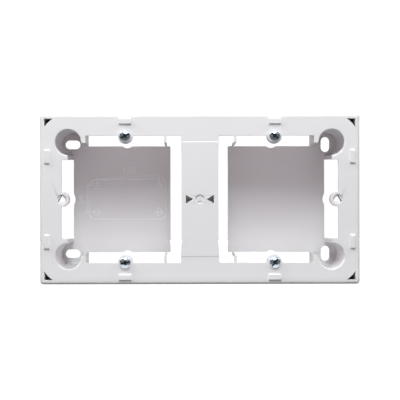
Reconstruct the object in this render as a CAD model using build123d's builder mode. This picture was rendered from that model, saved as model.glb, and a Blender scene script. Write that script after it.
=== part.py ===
from build123d import *

import os
from math import radians, tan

os.makedirs("parts", exist_ok=True)

# Double surface mount box: a one-piece moulded case for two wiring devices side by side, and the
# four screws that hold the devices' frames. It stands as it is fixed to a wall: +X is to the right
# seen from the front, +Z is up and the front faces -Y. The origin is the centre of the back, on the
# wall. All lengths are in millimetres.

# Fixing places of a device, four on a circle in each half, and what the case adds round them
gang_pitch = 71.0
device_circle = 60.0
case_margin_x = 10.25
case_margin_z = 10.25

# Case shell
case_depth = 42.0
case_wall = 2.0
front_plate = 2.4
case_corner = 1.5
front_edge = 1.2
interior_corner = 11.0

# Wells for the wall screws, one in each corner, and the corner blocks that hold them
well_inset = 13.25
well_mouth = 12.2
well_base = 10.9
well_lip = 0.4
well_wall = 1.6
slot_width = 4.3
slot_length = 7.4
block_width = 19.55
block_height = 19.35
block_wall = 1.6

# Floors, which lie on the wall, the gaps round them, and the bays over them
floor_plate = 2.0
centre_gap = 28.4
side_gap = 11.65
long_gap = 12.05
floor_corner = 0.5
bay_draft = 0.9
rear_draft = 0.9

# The front plate: its strips along the edges of the case, and the web between the bays
long_strip = 10.05
side_strip = 10.15
block_setback = 0.2
web_width = 17.5
web_flare = 0.3
web_flare_length = 6.6

# Struts that tie the floors' inner ends to tabs of the front plate, placed from the centre gap
left_strut_inset = 2.2
right_strut_inset = 2.6
strut_width = 0.9
strut_height = 0.8
tab_width = 1.25

# Lugs for the device screws, and the stiffened web between the bays
lug_diameter = 7.0
lug_depth = 10.0
lug_recess_diameter = 4.5
lug_recess_depth = 0.8
lug_rib = 1.2
lug_core_clearance = 0.8
notch_diameter = 6.0
notch_depth = 0.95
pilot_bore = 2.3
web_boss_diameter = 6.0
web_hole_depth = 8.0
web_rim = 1.4
web_rim_depth = 6.0

# Catch blocks on the front plate, placed from the edges of the case
catch_height = 1.0
catch_run = 0.6
long_catch_width = 5.9
long_catch_length = 3.35
long_catch_inset = 3.25
side_catch_width = 2.4
side_catch_length = 7.0
side_catch_inset = 3.3
side_catch_spacing = 40.4

# Raised field on the web, and the moulding mark at its middle
field_margin = 3.3
field_height = 0.15
field_ramp = 0.6
gate_recess_diameter = 4.4
gate_recess_depth = 0.9
gate_stub_diameter = 2.4
gate_stub_height = 0.7

# Thin places in the walls, to be broken out for a cable
breakout_width = 16.0
breakout_height = 18.0
breakout_skin = 0.8
breakout_step = 0.25

# Device screws
screw_clearance = 0.05
screw_head_diameter = 5.5
screw_head_height = 2.0
screw_head_rim = 1.2
screw_crown_diameter = 4.4
screw_length = 15.0
screw_tip_chamfer = 0.4
screw_slot_width = 0.8
screw_slot_length = 4.2
screw_slot_depth = 1.1

# Worked-out sizes of the case
back = Plane.XZ
front = Plane.XZ.offset(case_depth)
floor_top = Plane.XZ.offset(floor_plate)
case_width = gang_pitch + device_circle + 2 * case_margin_x
case_height = device_circle + 2 * case_margin_z
interior_width = case_width - 2 * case_wall
interior_height = case_height - 2 * case_wall
hollow_depth = case_depth - front_plate

# Worked-out sizes of the floors, the corner blocks and the front plate
bay_depth = case_depth - floor_plate
floor_width = (interior_width - centre_gap) / 2 - side_gap
floor_height = interior_height - 2 * long_gap
floor_x = (centre_gap + floor_width) / 2
bay_mouth_half_height = floor_height / 2 + bay_depth * tan(radians(bay_draft))
well_spacing_x = case_width - 2 * well_inset
well_spacing_z = case_height - 2 * well_inset
well_outer_radius = well_mouth / 2 + well_wall
block_face_x = interior_width / 2 - block_width
corner_width = block_width + case_wall
corner_height = block_height + case_wall
hollow_width = block_width - block_wall
hollow_height = block_height - block_wall
side_opening_x = case_width / 2 - side_strip
side_opening_half_height = interior_height / 2 - block_height - block_setback
opening_half_height = case_height / 2 - long_strip
field_half_height = opening_half_height - field_margin
web_flare_start = field_half_height - web_flare_length
web_half_width = web_width / 2
flare_half_width = web_half_width + web_flare

# Worked-out sizes of the lugs, the catch blocks, the break-outs and the screws
gang_x = gang_pitch / 2
device_radius = device_circle / 2
side_lug_x = gang_x + device_radius
web_hole_x = gang_x - device_radius
catch_root = front_plate / 2
front_clear = catch_height + field_height
lug_rib_length_x = interior_width / 2 - side_lug_x
lug_rib_length_z = interior_height / 2 - device_radius
breakout_cut = case_wall - breakout_skin - breakout_step
shank_radius = pilot_bore / 2 - screw_clearance


# Four like places on the front, as X and Z: top left, top right, bottom left, bottom right
def four_places(x, z):
    return [(-x, z), (x, z), (-x, -z), (x, -z)]


well_places = four_places(well_spacing_x / 2, well_spacing_z / 2)
long_lugs = four_places(gang_x, device_radius)
long_catches = four_places(gang_x, case_height / 2 - long_catch_inset)
side_catches = four_places(case_width / 2 - side_catch_inset, side_catch_spacing / 2)
side_lugs = [(-side_lug_x, 0), (side_lug_x, 0)]
struts = [(-centre_gap / 2 - left_strut_inset, 0), (centre_gap / 2 + right_strut_inset, 0)]

# The screws in the order of those places, each with the turn in which it was left
screw_turns = {
    "device_screw_top_left": 28.0,
    "device_screw_top_right": -36.0,
    "device_screw_bottom_left": 12.0,
    "device_screw_bottom_right": 52.0,
}


# A catch block, sloped at both ends and rooted in the front plate
def catch_block(width, length):
    with BuildPart() as block:
        with BuildSketch(Plane.YZ):
            with BuildLine():
                Polyline(
                    (catch_root, -length / 2),
                    (0, -length / 2),
                    (-catch_height, -length / 2 + catch_run),
                    (-catch_height, length / 2 - catch_run),
                    (0, length / 2),
                    (catch_root, length / 2),
                    close=True,
                )
            make_face()
        extrude(amount=width / 2, both=True)
    return block.part


# The inside of a well: a slightly tapered bore, broken at its mouth by a narrow lip
with BuildPart() as well_core:
    with BuildSketch(Plane.XY):
        with BuildLine():
            Polyline(
                (0, -floor_plate),
                (well_base / 2, -floor_plate),
                (well_mouth / 2, -case_depth + well_lip),
                (well_mouth / 2 + well_lip, -case_depth),
                (0, -case_depth),
                close=True,
            )
        make_face()
    revolve(axis=Axis.Y)

# What is open to the wall behind the front plate, round the corner blocks: it widens to the back
with BuildPart() as rear_core:
    with BuildSketch(front.offset(-front_plate)):
        Rectangle(case_width, case_height)
        with GridLocations(case_width - corner_width, case_height - corner_height, 2, 2):
            Rectangle(corner_width, corner_height, mode=Mode.SUBTRACT)
    extrude(amount=-hollow_depth, taper=-rear_draft)
    with BuildSketch(back):
        RectangleRounded(interior_width, interior_height, interior_corner)
    extrude(amount=hollow_depth, mode=Mode.INTERSECT)

# A three-sided pilot hole, in which a screw cuts its own thread
with BuildSketch(Plane.XY) as pilot_outline:
    RegularPolygon(radius=pilot_bore / 2, side_count=3, major_radius=False, rotation=90)

# The case, one moulding
with BuildPart() as box_body:
    with BuildSketch(back):
        RectangleRounded(case_width, case_height, case_corner)
    extrude(amount=case_depth)
    fillet(box_body.faces().sort_by(Axis.Y)[0].edges(), radius=front_edge)

    # The raised field of the web, whose sides the openings trim
    with BuildSketch(Plane.YZ):
        with BuildLine():
            Polyline(
                (-case_depth + catch_root, -field_half_height - field_ramp),
                (-case_depth, -field_half_height - field_ramp),
                (-case_depth - field_height, -field_half_height),
                (-case_depth - field_height, field_half_height),
                (-case_depth, field_half_height + field_ramp),
                (-case_depth + catch_root, field_half_height + field_ramp),
                close=True,
            )
        make_face()
    extrude(amount=flare_half_width, both=True)

    # The core behind the front plate, with the struts left standing over the floors' edges
    add(rear_core.part, mode=Mode.SUBTRACT)
    with BuildSketch(back):
        with Locations(*struts):
            with GridLocations(0, floor_height, 1, 2):
                Rectangle(strut_width, 2 * (strut_height + bay_mouth_half_height) - floor_height)
    extrude(amount=hollow_depth)

    # The hollow of each corner block, between its walls and the tube of the well
    with BuildSketch(back):
        with GridLocations(interior_width - hollow_width, interior_height - hollow_height, 2, 2):
            Rectangle(hollow_width, hollow_height)
        RectangleRounded(interior_width, interior_height, interior_corner, mode=Mode.INTERSECT)
        with GridLocations(well_spacing_x, well_spacing_z, 2, 2):
            Circle(well_outer_radius, mode=Mode.SUBTRACT)
    extrude(amount=hollow_depth, mode=Mode.SUBTRACT)

    # The floors, notched opposite the lugs, where the mould reached past them
    with BuildSketch(back):
        with GridLocations(2 * floor_x, 0, 2, 1):
            RectangleRounded(floor_width, floor_height, floor_corner)
        with GridLocations(gang_pitch, floor_height + notch_diameter - 2 * notch_depth, 2, 2):
            Circle(notch_diameter / 2, mode=Mode.SUBTRACT)
        with GridLocations(2 * side_lug_x, 0, 2, 1):
            Circle(lug_diameter / 2 + lug_core_clearance, mode=Mode.SUBTRACT)
    extrude(amount=floor_plate)

    # The bays, which widen from the floor to the front
    with BuildSketch(floor_top):
        with GridLocations(2 * floor_x, 0, 2, 1):
            Rectangle(floor_width, floor_height)
    extrude(amount=bay_depth + front_clear, taper=-bay_draft, mode=Mode.SUBTRACT)

    # The openings in the front plate, with a tab left standing at each strut
    with BuildSketch(front.offset(-front_plate)):
        with BuildLine():
            Polyline(
                (web_half_width, -web_flare_start),
                (web_half_width, web_flare_start),
                (flare_half_width, field_half_height),
                (flare_half_width, opening_half_height),
                (block_face_x, opening_half_height),
                (block_face_x, -opening_half_height),
                (flare_half_width, -opening_half_height),
                (flare_half_width, -field_half_height),
                close=True,
            )
        make_face()
        mirror(about=Plane.YZ)
        with GridLocations(side_opening_x + block_face_x, 0, 2, 1):
            Rectangle(side_opening_x - block_face_x, 2 * side_opening_half_height)
        with Locations(*struts):
            with GridLocations(0, 2 * opening_half_height, 1, 2):
                Rectangle(tab_width, 2 * (opening_half_height - bay_mouth_half_height), mode=Mode.SUBTRACT)
    extrude(amount=front_plate + front_clear, mode=Mode.SUBTRACT)

    # The wells, and the slots in their feet: level on the left, upright on the right
    with Locations(*[(x, 0, z) for x, z in well_places]):
        add(well_core.part, mode=Mode.SUBTRACT)
    with BuildSketch(back):
        with Locations((-well_spacing_x / 2, 0)):
            with GridLocations(0, well_spacing_z, 1, 2):
                SlotOverall(slot_length, slot_width)
        with Locations((well_spacing_x / 2, 0)):
            with GridLocations(0, well_spacing_z, 1, 2):
                SlotOverall(slot_length, slot_width, rotation=90)
    extrude(amount=floor_plate, mode=Mode.SUBTRACT)

    # Stiffening rims behind the long edges of the web, and the bosses between them
    with BuildSketch(front):
        with GridLocations(web_width - web_rim, 0, 2, 1):
            Rectangle(web_rim, 2 * opening_half_height + web_rim)
        with GridLocations(2 * web_hole_x, 0, 2, 1):
            Circle(web_boss_diameter / 2)
    extrude(amount=-web_rim_depth)
    with BuildSketch(front):
        with GridLocations(2 * web_hole_x, 0, 2, 1):
            Circle(web_boss_diameter / 2)
    extrude(amount=-lug_depth)

    # The lugs, each tied to the wall beside it by a rib
    with BuildSketch(front):
        with Locations(*long_lugs, *side_lugs):
            Circle(lug_diameter / 2)
        with GridLocations(gang_pitch, device_circle + lug_rib_length_z, 2, 2):
            Rectangle(lug_rib, lug_rib_length_z)
        with GridLocations(2 * side_lug_x + lug_rib_length_x, 0, 2, 1):
            Rectangle(lug_rib_length_x, lug_rib)
    extrude(amount=-lug_depth)

    # Pilot holes: right through the lugs, blind in the web, where they point at the middle
    with BuildSketch(front):
        with Locations(*long_lugs, *side_lugs):
            add(pilot_outline.sketch)
    extrude(amount=-lug_depth, mode=Mode.SUBTRACT)
    with BuildSketch(front.offset(field_height)):
        for side in (-1, 1):
            with Locations((side * web_hole_x, 0)):
                add(pilot_outline.sketch, rotation=90 * side)
    extrude(amount=-web_hole_depth, mode=Mode.SUBTRACT)
    with BuildSketch(front):
        with Locations(*side_lugs):
            Circle(lug_recess_diameter / 2)
    extrude(amount=-lug_recess_depth, mode=Mode.SUBTRACT)

    # The moulding mark at the middle of the web, a round recess with a stub in it
    with BuildSketch(front.offset(field_height)):
        Circle(gate_recess_diameter / 2)
    extrude(amount=-gate_recess_depth, mode=Mode.SUBTRACT)
    with BuildSketch(front.offset(field_height - gate_recess_depth)):
        Circle(gate_stub_diameter / 2)
    extrude(amount=gate_stub_height)

    # Pockets that keep the outer corners from being thick, open to the front
    with BuildSketch(front):
        Rectangle(interior_width, interior_height)
        RectangleRounded(case_width, case_height, interior_corner + case_wall, mode=Mode.SUBTRACT)
    extrude(amount=-bay_depth, mode=Mode.SUBTRACT)

    # Catch blocks
    with Locations(*[(x, -case_depth, z) for x, z in long_catches]):
        add(catch_block(long_catch_width, long_catch_length))
    with Locations(*[(x, -case_depth, z) for x, z in side_catches]):
        add(catch_block(side_catch_width, side_catch_length))

    # Break-outs at the foot of the walls, thinned from both faces
    with BuildSketch(back):
        with GridLocations(gang_pitch, interior_height + breakout_cut, 2, 2):
            Rectangle(breakout_width, breakout_cut)
        with GridLocations(gang_pitch, case_height - breakout_step, 2, 2):
            Rectangle(breakout_width, breakout_step)
        with GridLocations(interior_width + breakout_cut, 0, 2, 1):
            Rectangle(breakout_cut, breakout_width)
        with GridLocations(case_width - breakout_step, 0, 2, 1):
            Rectangle(breakout_step, breakout_width)
    extrude(amount=breakout_height, mode=Mode.SUBTRACT)

box_body.part.label = "box_body"
export_step(box_body.part, "parts/box_body.step")


# A device screw: a flat-crowned pan head with a crossed slot, turned as it was left
def device_screw(name, x, z, turn):
    seat = (x, -case_depth, z)
    with BuildPart() as screw:
        with BuildSketch(Plane(origin=seat, x_dir=(1, 0, 0), z_dir=(0, 0, 1))):
            with BuildLine():
                Polyline(
                    (0, -screw_head_height),
                    (screw_crown_diameter / 2, -screw_head_height),
                    (screw_head_diameter / 2, -screw_head_rim),
                    (screw_head_diameter / 2, 0),
                    (shank_radius, 0),
                    (shank_radius, screw_length - screw_tip_chamfer),
                    (shank_radius - screw_tip_chamfer, screw_length),
                    (0, screw_length),
                    close=True,
                )
            make_face()
        revolve(axis=Axis(seat, (0, 1, 0)))
        with BuildSketch(Plane(origin=seat, x_dir=(1, 0, 0), z_dir=(0, -1, 0)).offset(screw_head_height)):
            with PolarLocations(0, 2, start_angle=turn, angular_range=180):
                Rectangle(screw_slot_length, screw_slot_width)
        extrude(amount=-screw_slot_depth, mode=Mode.SUBTRACT)
    screw.part.label = name
    export_step(screw.part, f"parts/{name}.step")


for (name, turn), (x, z) in zip(screw_turns.items(), long_lugs):
    device_screw(name, x, z, turn)
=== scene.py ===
from math import cos, pi, radians, sin, tau

import bmesh
import bpy
from mathutils import Matrix, Vector


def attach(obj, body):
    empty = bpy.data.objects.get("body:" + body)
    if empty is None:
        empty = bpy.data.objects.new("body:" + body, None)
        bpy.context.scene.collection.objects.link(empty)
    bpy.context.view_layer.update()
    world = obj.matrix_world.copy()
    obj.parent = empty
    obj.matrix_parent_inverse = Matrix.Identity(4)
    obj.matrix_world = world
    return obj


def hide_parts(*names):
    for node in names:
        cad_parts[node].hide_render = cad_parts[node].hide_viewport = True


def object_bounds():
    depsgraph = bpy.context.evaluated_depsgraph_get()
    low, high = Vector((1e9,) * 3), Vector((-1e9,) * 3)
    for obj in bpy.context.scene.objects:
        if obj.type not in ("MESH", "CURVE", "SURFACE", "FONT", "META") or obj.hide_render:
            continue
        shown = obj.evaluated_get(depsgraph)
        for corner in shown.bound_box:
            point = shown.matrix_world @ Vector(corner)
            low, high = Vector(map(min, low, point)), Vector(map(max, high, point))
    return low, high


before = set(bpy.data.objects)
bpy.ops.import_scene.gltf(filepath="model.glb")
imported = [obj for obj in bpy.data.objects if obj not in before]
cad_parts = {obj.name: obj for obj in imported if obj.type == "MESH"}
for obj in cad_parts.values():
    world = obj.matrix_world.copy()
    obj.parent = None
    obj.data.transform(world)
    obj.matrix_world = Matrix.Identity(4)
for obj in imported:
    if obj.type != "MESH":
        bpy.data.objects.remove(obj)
cad_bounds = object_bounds()

# The white moulding: the case as it is in the frame, in one piece of satin thermoplastic. The mould
# leaves a fine grain, broken edges and slightly glossier patches, and no paint or coat lies on it.
plastic_color = (0.885, 0.855, 0.870)
plastic_shade = (0.86, 0.828, 0.843)
plastic_roughness = 0.42
plastic_ior = 1.49
plastic_specular = 0.45
drift_per_metre = 38.0
drift_in_roughness = 0.10
grain_per_metre = 2600.0
grain_strength = 0.12
grain_height = 0.00004
skin_gap = 0.000002
edge_radius = 0.00012
edge_angle = radians(28)


# An empty shader node group with its named inputs and outputs
def new_group(name, takes, gives):
    group = bpy.data.node_groups.new(name, "ShaderNodeTree")
    for socket, kind in takes.items():
        group.interface.new_socket(socket, in_out="INPUT", socket_type=kind)
    for socket, kind in gives.items():
        group.interface.new_socket(socket, in_out="OUTPUT", socket_type=kind)
    return group


# Moulded surface: a slow drift of colour and gloss, and the grain of the eroded mould
def moulded_surface():
    group = new_group(
        "moulded_surface",
        {
            "Light Color": "NodeSocketColor",
            "Dark Color": "NodeSocketColor",
            "Roughness": "NodeSocketFloat",
            "Grain Size": "NodeSocketFloat",
        },
        {"Color": "NodeSocketColor", "Surface Roughness": "NodeSocketFloat", "Height": "NodeSocketFloat"},
    )
    nodes = group.nodes
    links = group.links
    given = nodes.new("NodeGroupInput")
    result = nodes.new("NodeGroupOutput")
    place = nodes.new("ShaderNodeTexCoord")

    drift = nodes.new("ShaderNodeTexNoise")
    drift.inputs["Scale"].default_value = drift_per_metre
    drift.inputs["Detail"].default_value = 3.0
    links.new(place.outputs["Object"], drift.inputs["Vector"])

    tint = nodes.new("ShaderNodeMix")
    tint.data_type = "RGBA"
    links.new(drift.outputs["Fac"], tint.inputs["Factor"])
    links.new(given.outputs["Light Color"], tint.inputs["A"])
    links.new(given.outputs["Dark Color"], tint.inputs["B"])
    links.new(tint.outputs["Result"], result.inputs["Color"])

    spread = nodes.new("ShaderNodeMath")
    spread.operation = "MULTIPLY_ADD"
    spread.inputs[1].default_value = drift_in_roughness
    links.new(drift.outputs["Fac"], spread.inputs[0])
    links.new(given.outputs["Roughness"], spread.inputs[2])
    links.new(spread.outputs["Value"], result.inputs["Surface Roughness"])

    grain = nodes.new("ShaderNodeTexNoise")
    grain.inputs["Detail"].default_value = 4.0
    grain.inputs["Roughness"].default_value = 0.6
    links.new(place.outputs["Object"], grain.inputs["Vector"])
    links.new(given.outputs["Grain Size"], grain.inputs["Scale"])
    links.new(grain.outputs["Fac"], result.inputs["Height"])
    return group


# A material that takes its colour, roughness and fine relief from a surface group, with its own values
def surfaced_material(name, surface_group, values, relief_strength, relief_height):
    material = bpy.data.materials.new(name)
    material.use_nodes = True
    nodes = material.node_tree.nodes
    links = material.node_tree.links
    shader = nodes["Principled BSDF"]
    surface = nodes.new("ShaderNodeGroup")
    surface.node_tree = surface_group
    for socket, value in values.items():
        surface.inputs[socket].default_value = value
    links.new(surface.outputs["Color"], shader.inputs["Base Color"])
    links.new(surface.outputs["Surface Roughness"], shader.inputs["Roughness"])
    relief = nodes.new("ShaderNodeBump")
    relief.inputs["Strength"].default_value = relief_strength
    relief.inputs["Distance"].default_value = relief_height
    links.new(surface.outputs["Height"], relief.inputs["Height"])
    links.new(relief.outputs["Normal"], shader.inputs["Normal"])
    return material


def moulded_material(name, color, shade, roughness):
    values = {
        "Light Color": (*color, 1),
        "Dark Color": (*shade, 1),
        "Roughness": roughness,
        "Grain Size": grain_per_metre,
    }
    material = surfaced_material(name, mould_finish, values, grain_strength, grain_height)
    shader = material.node_tree.nodes["Principled BSDF"]
    shader.inputs["IOR"].default_value = plastic_ior
    shader.inputs["Specular IOR Level"].default_value = plastic_specular
    return material


mould_finish = moulded_surface()
white_plastic = moulded_material("white_plastic", plastic_color, plastic_shade, plastic_roughness)
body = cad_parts["box_body"]
body.data.materials.clear()
body.data.materials.append(white_plastic)

one_skin = body.modifiers.new("one_skin", "WELD")
one_skin.merge_threshold = skin_gap
broken_edges = body.modifiers.new("broken_edges", "BEVEL")
broken_edges.width = edge_radius
broken_edges.segments = 2
broken_edges.limit_method = "ANGLE"
broken_edges.angle_limit = edge_angle
broken_edges.use_clamp_overlap = False
broken_edges.harden_normals = True

# The drilling plan on the left floor: the outline of the box at a quarter of its size, with its four
# slots and the two drilling distances. It is part of the moulding: rounded ridges a little proud of the
# floor and smoother than it, painted paler than it as a painted highlight that makes them stand out.
ridge_painted_highlight = (0.985, 0.965, 0.975)
ridge_painted_highlight_drift = (0.975, 0.955, 0.965)
ridge_roughness = 0.2
ridge_radius = 0.00036
ridge_sunk = 0.00006
plan_floor_y = -0.002
plan_center_x = -0.0355
plan_width = 0.0379
plan_height = 0.0200
plan_corner = 0.0027
plan_corner_steps = 8
plan_slot_x = 0.0156
plan_slot_z = 0.0066
level_line_z = 0.01153
level_line_end_z = 0.0090
upright_line_x = -0.05593
level_slot_line = 0.0025
level_slot_radius = 0.0018
level_slot_drop = 0.0004
level_slot_tip = radians(12)
level_slot_steps = 10
upright_slot_line = 0.0020
upright_slot_rise = 0.0023
upright_slot_half_width = 0.00135
digit_height = 0.0034
digit_share_of_font = 0.72
digit_swell = 0.00011
digit_relief = 0.00034
digit_depth_in_floor = 0.0001
level_number_place = (-0.03495, 0.01405)
upright_number_place = (-0.05835, -0.0003)


# One more ridge of the plan, a bent line of x and z
def add_ridge(points, closed=False):
    ridge = plan_curve.splines.new("POLY")
    ridge.points.add(len(points) - 1)
    for knot, (x, z) in zip(ridge.points, points):
        knot.co = (x, z, 0, 1)
    ridge.use_cyclic_u = closed


def arc_points(center_x, center_z, radius, first, last, steps):
    angles = [first + (last - first) * step / steps for step in range(steps + 1)]
    return [(center_x + radius * cos(angle), center_z + radius * sin(angle)) for angle in angles]


plan_curve = bpy.data.curves.new("drilling_plan_curve", "CURVE")
plan_curve.dimensions = "3D"
plan_curve.bevel_depth = ridge_radius
plan_curve.bevel_resolution = 3
plan_curve.use_fill_caps = True

outline = []
for quarter, (side_x, side_z) in enumerate(((1, 1), (-1, 1), (-1, -1), (1, -1))):
    corner_x = plan_center_x + side_x * (plan_width / 2 - plan_corner)
    corner_z = side_z * (plan_height / 2 - plan_corner)
    first = quarter * pi / 2
    last = (quarter + 1) * pi / 2
    outline += arc_points(corner_x, corner_z, plan_corner, first, last, plan_corner_steps)
add_ridge(outline, closed=True)

left_x = plan_center_x - plan_slot_x
right_x = plan_center_x + plan_slot_x
level_line = [
    (left_x, plan_slot_z),
    (left_x, level_line_z),
    (right_x, level_line_z),
    (right_x, level_line_end_z),
]
add_ridge(level_line)
add_ridge([(upright_line_x, plan_slot_z), (upright_line_x, -plan_slot_z)])
for slot_z in (plan_slot_z, -plan_slot_z):
    add_ridge([(upright_line_x, slot_z), (left_x + level_slot_line, slot_z)])
    upper_arc = arc_points(
        left_x,
        slot_z - level_slot_drop,
        level_slot_radius,
        level_slot_tip,
        pi - level_slot_tip,
        level_slot_steps,
    )
    add_ridge(upper_arc)
    add_ridge([(x, 2 * slot_z - z) for x, z in upper_arc])
    add_ridge([(right_x - upright_slot_line, slot_z), (right_x + upright_slot_line, slot_z)])
    upright_slot = [
        (right_x, slot_z + upright_slot_rise),
        (right_x + upright_slot_half_width, slot_z),
        (right_x, slot_z - upright_slot_rise),
        (right_x - upright_slot_half_width, slot_z),
    ]
    add_ridge(upright_slot, closed=True)

# the ridges' paler colour is a painted highlight
smooth_plastic_painted_highlight = moulded_material("smooth_plastic_painted_highlight", ridge_painted_highlight, ridge_painted_highlight_drift, ridge_roughness)


# The mesh of an object as it shows, with its curve or its modifiers worked out
def shown_mesh(piece):
    bpy.context.view_layer.update()
    return bpy.data.meshes.new_from_object(piece.evaluated_get(bpy.context.evaluated_depsgraph_get()))


# Turns a form that lies flat, stands it up with its top to the front, and puts it in its place
def stand_up(made, turn, place):
    bmesh.ops.rotate(made, cent=(0, 0, 0), matrix=Matrix.Rotation(turn, 3, "Z"), verts=made.verts)
    bmesh.ops.rotate(made, cent=(0, 0, 0), matrix=Matrix.Rotation(pi / 2, 3, "X"), verts=made.verts)
    bmesh.ops.translate(made, vec=place, verts=made.verts)


def raised_piece(name, curve, turn, place):
    holder = bpy.data.objects.new(name + "_holder", curve)
    bpy.context.scene.collection.objects.link(holder)
    mesh = shown_mesh(holder)
    bpy.data.objects.remove(holder)
    made = bmesh.new()
    made.from_mesh(mesh)
    stand_up(made, turn, place)
    made.to_mesh(mesh)
    made.free()
    mesh.materials.clear()
    mesh.materials.append(smooth_plastic_painted_highlight)
    piece = bpy.data.objects.new(name, mesh)
    bpy.context.scene.collection.objects.link(piece)
    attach(piece, "root")
    return piece


# A number of the plan, with its baseline turned about the view and its middle at a place
def plan_number(name, text, place, turn):
    curve = bpy.data.curves.new(name + "_curve", "FONT")
    curve.body = text
    curve.size = digit_height / digit_share_of_font
    curve.extrude = (digit_relief + digit_depth_in_floor) / 2
    curve.offset = digit_swell
    curve.align_x = "CENTER"
    curve.align_y = "CENTER"
    middle_y = plan_floor_y - (digit_relief - digit_depth_in_floor) / 2
    raised_piece(name, curve, turn, (place[0], middle_y, place[1]))


plan_lines = raised_piece("drilling_plan_lines", plan_curve, 0, (0, plan_floor_y + ridge_sunk, 0))
plan_lines.data.shade_smooth()
plan_number("drilling_distance_level", "125", level_number_place, 0)
plan_number("drilling_distance_upright", "54", upright_number_place, pi / 2)

# Device screws: steel, zinc plated and bright, with a rounded pan head and a cross in a slot, whose
# faces are painted dark as painted shade. They are cold headed and rolled, and each cuts its own thread
# into the three-sided hole of its lug.
zinc_color = (0.76, 0.83, 0.90)
zinc_shade = (0.54, 0.63, 0.74)
zinc_roughness = (0.14, 0.34)
# painted shade for the faces of the slot and cross
recess_painted_shade = (0.13, 0.15, 0.18)
recess_painted_shade_drift = (0.03, 0.035, 0.045)
recess_roughness = (0.40, 0.60)
spangle_per_metre = 1400.0
spangle_strength = 0.25
spangle_height = 0.00003
head_radius = 0.00275
head_height = 0.002
head_rim = 0.0007
head_shoulder = 0.0006
head_crown = 0.0004
head_edge = 0.0001
head_steps_round = 64
sharp_in_blank = radians(35)
sharp_in_screw = radians(30)
slot_size = (0.0047, 0.0008, 0.0009)
slot_taper = (0.97, 0.9)
cross_size = (0.0034, 0.0012, 0.0015)
cross_taper = (0.45, 0.55)
core_radius = 0.0011
core_in_head = 0.0002
core_steps_round = 32
shank_length = 0.015
point_length = 0.0012
point_narrowing = 0.0004
point_rounding = 0.00005
thread_radius = 0.00158
thread_pitch = 0.0012
thread_start = 0.0009
thread_end = 0.0014
thread_sunk = 0.0001
thread_half_root = 0.00028
thread_half_crest = 0.00006
front_y = -0.042
device_x = 0.0355
device_z = 0.030
screw_places = {
    "device_screw_top_left": (-device_x, device_z, radians(28)),
    "device_screw_top_right": (device_x, device_z, radians(-36)),
    "device_screw_bottom_left": (-device_x, -device_z, radians(12)),
    "device_screw_bottom_right": (device_x, -device_z, radians(52)),
}


# Spangle: the small patches of the plating, which differ in colour, gloss and height
def spangled_surface():
    group = new_group(
        "spangled_surface",
        {
            "Light Color": "NodeSocketColor",
            "Dark Color": "NodeSocketColor",
            "Smoothest": "NodeSocketFloat",
            "Roughest": "NodeSocketFloat",
        },
        {"Color": "NodeSocketColor", "Surface Roughness": "NodeSocketFloat", "Height": "NodeSocketFloat"},
    )
    nodes = group.nodes
    links = group.links
    given = nodes.new("NodeGroupInput")
    result = nodes.new("NodeGroupOutput")
    place = nodes.new("ShaderNodeTexCoord")
    spangle = nodes.new("ShaderNodeTexNoise")
    spangle.inputs["Scale"].default_value = spangle_per_metre
    spangle.inputs["Detail"].default_value = 5.0
    links.new(place.outputs["Object"], spangle.inputs["Vector"])
    links.new(spangle.outputs["Fac"], result.inputs["Height"])

    tint = nodes.new("ShaderNodeMix")
    tint.data_type = "RGBA"
    links.new(spangle.outputs["Fac"], tint.inputs["Factor"])
    links.new(given.outputs["Light Color"], tint.inputs["A"])
    links.new(given.outputs["Dark Color"], tint.inputs["B"])
    links.new(tint.outputs["Result"], result.inputs["Color"])

    gloss = nodes.new("ShaderNodeMapRange")
    links.new(spangle.outputs["Fac"], gloss.inputs["Value"])
    links.new(given.outputs["Smoothest"], gloss.inputs["To Min"])
    links.new(given.outputs["Roughest"], gloss.inputs["To Max"])
    links.new(gloss.outputs["Result"], result.inputs["Surface Roughness"])
    return group


def zinc_material(name, color, shade, roughness):
    values = {
        "Light Color": (*color, 1),
        "Dark Color": (*shade, 1),
        "Smoothest": roughness[0],
        "Roughest": roughness[1],
    }
    material = surfaced_material(name, zinc_finish, values, spangle_strength, spangle_height)
    material.node_tree.nodes["Principled BSDF"].inputs["Metallic"].default_value = 1.0
    return material


def new_piece(name, made, material, smooth_angle):
    mesh = bpy.data.meshes.new(name)
    bmesh.ops.recalc_face_normals(made, faces=made.faces)
    made.to_mesh(mesh)
    made.free()
    mesh.materials.append(material)
    mesh.shade_smooth()
    mesh.set_sharp_from_angle(angle=smooth_angle)
    piece = bpy.data.objects.new(name, mesh)
    bpy.context.scene.collection.objects.link(piece)
    return piece


# A profile of radius and height, spun into a closed form about +Z
def turned(profile, steps):
    made = bmesh.new()
    line = [made.verts.new((radius, 0, height)) for radius, height in profile]
    edges = [made.edges.new(pair) for pair in zip(line, line[1:])]
    bmesh.ops.spin(
        made,
        geom=line + edges,
        cent=(0, 0, 0),
        axis=(0, 0, 1),
        angle=tau,
        steps=steps,
        use_merge=True,
    )
    bmesh.ops.remove_doubles(made, verts=made.verts, dist=1e-7)
    return made


# Half of the head's section: a low crown, a rounded shoulder, an upright rim and a broken edge below
def head_profile():
    crown_radius = head_radius - head_shoulder
    crown_steps = 8
    profile = [(0.0, head_height)]
    for step in range(1, crown_steps + 1):
        part = step / crown_steps
        profile.append((crown_radius * part, head_height - head_crown * part ** 2))
    shoulder_height = head_height - head_crown - head_rim
    shoulder_steps = 6
    for step in range(1, shoulder_steps + 1):
        angle = pi / 2 * step / shoulder_steps
        profile.append((crown_radius + head_shoulder * sin(angle), head_rim + shoulder_height * cos(angle)))
    profile.append((head_radius, head_edge))
    profile.append((head_radius - head_edge, 0.0))
    profile.append((0.0, 0.0))
    return profile


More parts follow.
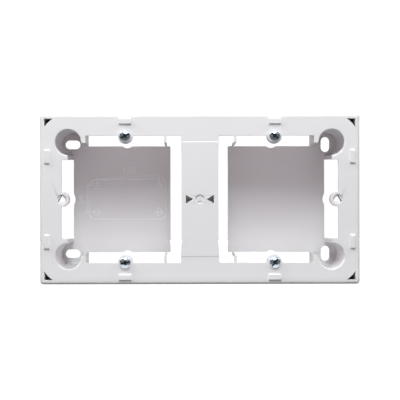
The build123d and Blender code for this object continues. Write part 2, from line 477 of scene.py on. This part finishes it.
# What the punch presses into the head: a long narrow slot and a short, deeper, tapered cross
def recess_punch():
    punch = bmesh.new()
    for turn, (length, width, depth), (length_left, width_left) in (
        (0, slot_size, slot_taper),
        (pi / 2, cross_size, cross_taper),
        (0, cross_size, cross_taper),
    ):
        bar = bmesh.ops.create_cube(punch, size=1.0)["verts"]
        bmesh.ops.scale(punch, vec=(length, width, 2 * depth), verts=bar)
        bottom = [corner for corner in bar if corner.co.z < 0]
        bmesh.ops.scale(punch, vec=(length_left, width_left, 1), verts=bottom)
        bmesh.ops.rotate(punch, cent=(0, 0, 0), matrix=Matrix.Rotation(turn, 3, "Z"), verts=bar)
        bmesh.ops.translate(punch, vec=(0, 0, head_height), verts=bar)
    return punch


# Half of the core's section: from inside the head to the blunt point
def core_profile():
    return [
        (0.0, core_in_head),
        (core_radius, core_in_head),
        (core_radius, -shank_length + point_length),
        (core_radius - point_narrowing, -shank_length + point_rounding),
        (0.0, -shank_length),
    ]


# The rolled thread: one ridge wound round the core from below the head to the point
def thread():
    made = bmesh.new()
    section = [
        (core_radius - thread_sunk, -thread_half_root),
        (thread_radius, -thread_half_crest),
        (thread_radius, thread_half_crest),
        (core_radius - thread_sunk, thread_half_root),
    ]
    line = [made.verts.new((radius, 0, -thread_start + rise)) for radius, rise in section]
    edges = [made.edges.new(pair) for pair in zip(line, line[1:] + line[:1])]
    turns = (shank_length - thread_start - thread_end) / thread_pitch
    steps_in_turn = 28
    steps = int(turns * steps_in_turn)
    bmesh.ops.spin(
        made,
        geom=line + edges,
        cent=(0, 0, 0),
        axis=(0, 0, 1),
        dvec=(0, 0, -thread_pitch * turns / steps),
        angle=tau * turns,
        steps=steps,
        use_merge=False,
    )
    bmesh.ops.holes_fill(made, edges=[edge for edge in made.edges if edge.is_boundary], sides=4)
    return made


zinc_finish = spangled_surface()
bright_zinc = zinc_material("bright_zinc", zinc_color, zinc_shade, zinc_roughness)
recess_zinc_painted_shade = zinc_material("recess_zinc_painted_shade", recess_painted_shade, recess_painted_shade_drift, recess_roughness)
head_form = turned(head_profile(), head_steps_round)
blank = new_piece("screw_head_blank", head_form, bright_zinc, sharp_in_blank)
# the punch's faces carry the painted shade into the pressed recess
punch = new_piece("recess_punch", recess_punch(), recess_zinc_painted_shade, sharp_in_blank)
press = blank.modifiers.new("pressed_recess", "BOOLEAN")
press.operation = "DIFFERENCE"
press.solver = "EXACT"
press.use_self = True
press.material_mode = "TRANSFER"
press.object = punch

whole_screw = bmesh.new()
whole_screw.from_mesh(shown_mesh(blank))
for part in (turned(core_profile(), core_steps_round), thread()):
    part_mesh = bpy.data.meshes.new("screw_part")
    part.to_mesh(part_mesh)
    part.free()
    whole_screw.from_mesh(part_mesh)
    bpy.data.meshes.remove(part_mesh)
screw_mesh = bpy.data.meshes.new("whole_screw")
whole_screw.to_mesh(screw_mesh)
whole_screw.free()
bpy.data.objects.remove(blank)
bpy.data.objects.remove(punch)

for name, (x, z, turn) in screw_places.items():
    screw = bmesh.new()
    screw.from_mesh(screw_mesh)
    stand_up(screw, turn, (x, front_y, z))
    piece = new_piece(name + "_finished", screw, bright_zinc, sharp_in_screw)
    piece.data.materials.append(recess_zinc_painted_shade)
    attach(piece, "root")
    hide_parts(name)

# The studio: a white table that the box stands on, which ends just in front of it, and a white sheet
# behind, both seen as white, in a grey room. Two soft boxes hang high in front, one stands at each
# side, a low one in front fills the shade, and one behind the box lights its back.
ground_white = 0.15
table_glow = 0.95
table_gap = 0.0001
table_z = cad_bounds[0].z - table_gap
table_reach = 0.6
table_front_y = -0.065
sheet_glow = 1.0
sheet_y = 0.9
sheet_reach = 3.0
sheet_foot_z = -5.0
sheet_top_z = 3.0
lamp_aim = Vector((0, -0.03, 0))
air_color = (1.0, 0.99, 0.99)
air_seen = 0.16
air_light = 0.015


# One where the camera, a mirroring surface or glass looks, and none where only light is gathered
def looked_at(nodes, links):
    path = nodes.new("ShaderNodeLightPath")
    mirrored = nodes.new("ShaderNodeMath")
    mirrored.operation = "MAXIMUM"
    links.new(path.outputs["Is Glossy Ray"], mirrored.inputs[0])
    links.new(path.outputs["Is Transmission Ray"], mirrored.inputs[1])
    either = nodes.new("ShaderNodeMath")
    either.operation = "MAXIMUM"
    links.new(path.outputs["Is Camera Ray"], either.inputs[0])
    links.new(mirrored.outputs["Value"], either.inputs[1])
    return either.outputs["Value"]


def ground_material(name, glow):
    material = bpy.data.materials.new(name)
    material.use_nodes = True
    nodes = material.node_tree.nodes
    links = material.node_tree.links
    shader = nodes["Principled BSDF"]
    shader.inputs["Base Color"].default_value = (ground_white, ground_white, ground_white, 1)
    shader.inputs["Roughness"].default_value = 0.9
    shader.inputs["Specular IOR Level"].default_value = 0.1
    shader.inputs["Emission Color"].default_value = (1, 1, 1, 1)
    shown = nodes.new("ShaderNodeMath")
    shown.operation = "MULTIPLY"
    shown.inputs[1].default_value = glow
    links.new(looked_at(nodes, links), shown.inputs[0])
    links.new(shown.outputs["Value"], shader.inputs["Emission Strength"])
    return material


# A flat sheet between two opposite corners, level or upright
def studio_sheet(name, material, low, high):
    made = bmesh.new()
    corners = [low, (high[0], low[1], low[2]), high, (low[0], high[1], high[2])]
    made.faces.new([made.verts.new(corner) for corner in corners])
    mesh = bpy.data.meshes.new(name)
    made.to_mesh(mesh)
    made.free()
    mesh.materials.append(material)
    piece = bpy.data.objects.new(name, mesh)
    bpy.context.scene.collection.objects.link(piece)


studio_sheet(
    "studio_floor",
    ground_material("table_white", table_glow),
    (-table_reach, table_front_y, table_z),
    (table_reach, sheet_y, table_z),
)
studio_sheet(
    "studio_backdrop",
    ground_material("sheet_white", sheet_glow),
    (-sheet_reach, sheet_y, sheet_foot_z),
    (sheet_reach, sheet_y, sheet_top_z),
)


# A soft box on a stand, turned to the box: how far round it stands and how high, in degrees, and how
# far off in metres. Those that only fill the shade don't show as a glint.
def soft_box(name, size, power, color, round_by, height, distance=0.80, mirrored=True):
    light = bpy.data.lights.new(name, "AREA")
    light.shape = "RECTANGLE"
    light.size, light.size_y = size
    light.energy = power
    light.color = color
    way = Vector((sin(radians(round_by)), -cos(radians(round_by)), 0)) * cos(radians(height))
    way.z = sin(radians(height))
    lamp = bpy.data.objects.new(name, light)
    lamp.location = lamp_aim + way * distance
    lamp.rotation_euler = way.to_track_quat("Z", "Y").to_euler()
    lamp.visible_glossy = mirrored
    lamp.visible_camera = False
    bpy.context.scene.collection.objects.link(lamp)


soft_box("key_box", (0.35, 0.168), 1.50, (0.93, 1.0, 1.0), round_by=0, height=36)
soft_box("near_box", (0.197, 0.095), 0.80, (0.91, 1.0, 1.0), round_by=0, height=48, distance=0.45)
soft_box("left_box", (0.35, 0.311), 3.50, (1.0, 1.0, 1.0), round_by=-70, height=43)
soft_box("right_box", (0.35, 0.311), 2.20, (1.0, 0.96, 0.97), round_by=70, height=43)
soft_box("front_box", (0.90, 0.168), 1.50, (1.0, 0.94, 0.97), round_by=0, height=-6, mirrored=False)
soft_box(
    "back_box", (0.10, 0.10), 2.10, (1.0, 1.0, 1.0), round_by=180, height=0, distance=0.85, mirrored=False
)

# The room's air: a grey that shows and is mirrored, and gives next to no light
world = bpy.data.worlds.new("studio_air")
world.use_nodes = True
air = world.node_tree.nodes["Background"]
air.inputs["Color"].default_value = (*air_color, 1)
lit = world.node_tree.nodes.new("ShaderNodeMapRange")
lit.inputs["To Min"].default_value = air_light
lit.inputs["To Max"].default_value = air_seen
seen = looked_at(world.node_tree.nodes, world.node_tree.links)
world.node_tree.links.new(seen, lit.inputs["Value"])
world.node_tree.links.new(lit.outputs["Result"], air.inputs["Strength"])
bpy.context.scene.world = world
bpy.context.scene.view_settings.view_transform = "Standard"

# The camera stands 0.9 m in front of the web, a hair high, and looks very slightly down and to the
# right. Its lens is long: a picture 400 pixels wide takes in about 0.19 m at the front plate.
camera_place = (-0.00862, -0.89911, 0.00133)
camera_heading = radians(-0.5769)
camera_tilt = radians(-0.1137)
camera_roll = radians(-0.1044)
focal_pixels = 1808.54
picture_width = 400
eye = bpy.data.cameras.new("front_camera")
eye.sensor_width = 36.0
eye.lens = eye.sensor_width * focal_pixels / picture_width
camera = bpy.data.objects.new("front_camera", eye)
turned_eye = (
    Matrix.Rotation(camera_heading, 4, "Z")
    @ Matrix.Rotation(pi / 2 + camera_tilt, 4, "X")
    @ Matrix.Rotation(camera_roll, 4, "Z")
)
camera.matrix_world = Matrix.Translation(camera_place) @ turned_eye
bpy.context.scene.collection.objects.link(camera)
bpy.context.scene.camera = camera
